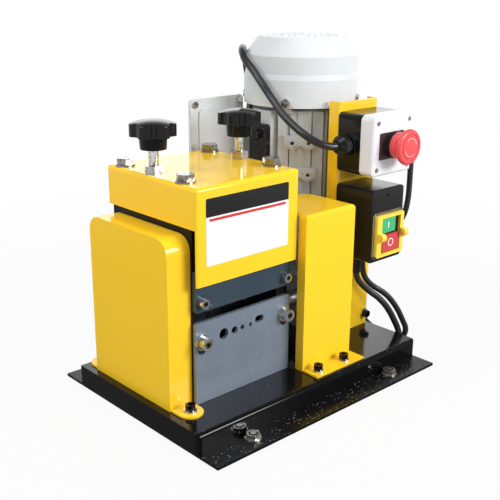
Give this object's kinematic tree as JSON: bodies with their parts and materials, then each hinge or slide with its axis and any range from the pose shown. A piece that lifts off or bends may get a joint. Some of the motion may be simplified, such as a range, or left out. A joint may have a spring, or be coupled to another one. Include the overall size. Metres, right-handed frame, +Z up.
{
  "type": "wire stripping machine",
  "caption": "Bench wire stripper: motor-driven feed roller and round blades in a yellow cover, with guide plate, knobs, guards, motor and control column.",
  "frame": {"origin": "middle of the machine's footprint, on the surface that the rubber feet stand on", "axes": "+X to the right along the base, +Y from the wire inlet to the back, +Z up"},
  "size_m": [0.3783, 0.3735, 0.3705],
  "materials": {
    "base_paint": "gloss black paint with dust",
    "rubber": "matt black rubber",
    "zinc": "bright zinc plate",
    "plate_steel": "blackened steel",
    "machined_steel": "machined steel",
    "roller_steel": "dark tool steel",
    "gear_steel": "oiled steel",
    "bronze": "bronze",
    "yellow_paint": "gloss yellow paint",
    "guide_steel": "grey satin steel",
    "inlet_steel": "dark blue-grey steel",
    "cast_alloy": "cast alloy, silver paint",
    "motor_paint": "light grey paint",
    "black_plastic": "black plastic, light sheen",
    "knob_plastic": "gloss black plastic",
    "white_plastic": "white plastic",
    "red_plastic": "red plastic",
    "green_plastic": "green plastic",
    "bezel_plastic": "yellow plastic",
    "cord_sheath": "black sheath, soft sheen"
  },
  "bodies": {
    "machine": {"base_pan": "base_paint", "rubber_feet": "rubber", "foot_nuts": "zinc", "side_plate_left": "plate_steel", "side_plate_right": "plate_steel", "tie_rods": "machined_steel", "deck_bolts": "zinc", "lower_bearings": "machined_steel", "head_cover": "yellow_paint", "cover_bolts": "zinc", "screw_nuts": "zinc", "inlet_plate": "inlet_steel", "plate_screws": "zinc", "left_guard": "yellow_paint", "right_guard": "yellow_paint", "guard_screws": "zinc", "gearbox_housing": "cast_alloy", "gearbox_caps": "cast_alloy", "motor_housing": "motor_paint", "motor_bracket": "base_paint", "fan_cover": "motor_paint", "fan_cover_screws": "zinc", "terminal_box": "cast_alloy", "terminal_lid": "cast_alloy", "terminal_screws": "zinc", "control_column": "yellow_paint", "column_bolts": "zinc", "stop_box_base": "black_plastic", "stop_box_lid": "white_plastic", "stop_box_screws": "zinc", "stop_collar": "black_plastic", "switch_box": "black_plastic", "switch_bezel": "bezel_plastic", "switch_pins": "zinc", "cable_glands": "black_plastic", "motor_lead": "cord_sheath", "control_lead": "cord_sheath", "mains_cord": "cord_sheath", "mains_coil": "cord_sheath", "mains_plug": "cord_sheath"},
    "rotor": {"motor_shaft": "machined_steel", "cooling_fan": "black_plastic"},
    "lower_drive": {"lower_shaft": "machined_steel", "feed_roller": "roller_steel", "lower_gear": "gear_steel", "worm_wheel": "bronze"},
    "carriage": {"bearing_blocks": "machined_steel", "upper_bearings": "machined_steel"},
    "upper_drive": {"upper_shaft": "machined_steel", "cutter_blades": "machined_steel", "upper_gear": "gear_steel"},
    "left_screw": {"screw_left": "zinc", "knob_left": "knob_plastic"},
    "right_screw": {"screw_right": "zinc", "knob_right": "knob_plastic"},
    "guide": {"guide_plate": "guide_steel"},
    "stop_stem": {"stop_plunger": "black_plastic"},
    "stop_head": {"stop_mushroom": "red_plastic"},
    "start_switch": {"start_key": "green_plastic"},
    "stop_switch": {"stop_key": "red_plastic"}
  },
  "joints": [
    {"name": "rotor_spin", "type": "hinge", "parent": "machine", "child": "rotor", "pos_m": [0.1095, 0.051, 0.21], "axis": [0, 0, 1], "continuous": true},
    {"name": "lower_shaft_spin", "type": "hinge", "parent": "machine", "child": "lower_drive", "pos_m": [-0.0755, 0.015, 0.07], "axis": [1, 0, 0], "continuous": true},
    {"name": "carriage_lift", "type": "slide", "parent": "machine", "child": "carriage", "axis": [0, 0, 1], "range_m": [0, 0.005]},
    {"name": "upper_shaft_spin", "type": "hinge", "parent": "carriage", "child": "upper_drive", "pos_m": [-0.0755, 0.015, 0.118], "axis": [1, 0, 0], "continuous": true},
    {"name": "knob_left_turn", "type": "hinge", "parent": "carriage", "child": "left_screw", "pos_m": [-0.1315, 0.015, 0.28], "axis": [0, 0, 1], "range_deg": [0, 1200]},
    {"name": "knob_right_turn", "type": "hinge", "parent": "carriage", "child": "right_screw", "pos_m": [-0.0195, 0.015, 0.28], "axis": [0, 0, 1], "range_deg": [0, 1200]},
    {"name": "guide_plate_slide", "type": "slide", "parent": "machine", "child": "guide", "axis": [0, 0, 1], "range_m": [0, 0.008]},
    {"name": "stop_button_press", "type": "slide", "parent": "machine", "child": "stop_stem", "axis": [0, 1, 0], "range_m": [0, 0.004]},
    {"name": "stop_button_twist", "type": "hinge", "parent": "stop_stem", "child": "stop_head", "pos_m": [0.1205, -0.092, 0.261], "axis": [0, 1, 0], "range_deg": [0, 45], "stiffness_Nm_per_rad": 0.03},
    {"name": "start_key_press", "type": "slide", "parent": "machine", "child": "start_switch", "axis": [0, 1, 0], "range_m": [0, 0.0025], "stiffness_N_per_m": 400, "springref_m": -0.002},
    {"name": "stop_key_press", "type": "slide", "parent": "machine", "child": "stop_switch", "axis": [0, 1, 0], "range_m": [0, 0.0025], "stiffness_N_per_m": 400, "springref_m": -0.002}
  ],
  "couplings": [
    {"joint": "lower_shaft_spin", "follows": "rotor_spin", "ratio": 0.041667},
    {"joint": "upper_shaft_spin", "follows": "rotor_spin", "ratio": -0.041667},
    {"joint": "knob_left_turn", "follows": "carriage_lift", "rad_per_m": 4188.8},
    {"joint": "knob_right_turn", "follows": "carriage_lift", "rad_per_m": 4188.8}
  ]
}
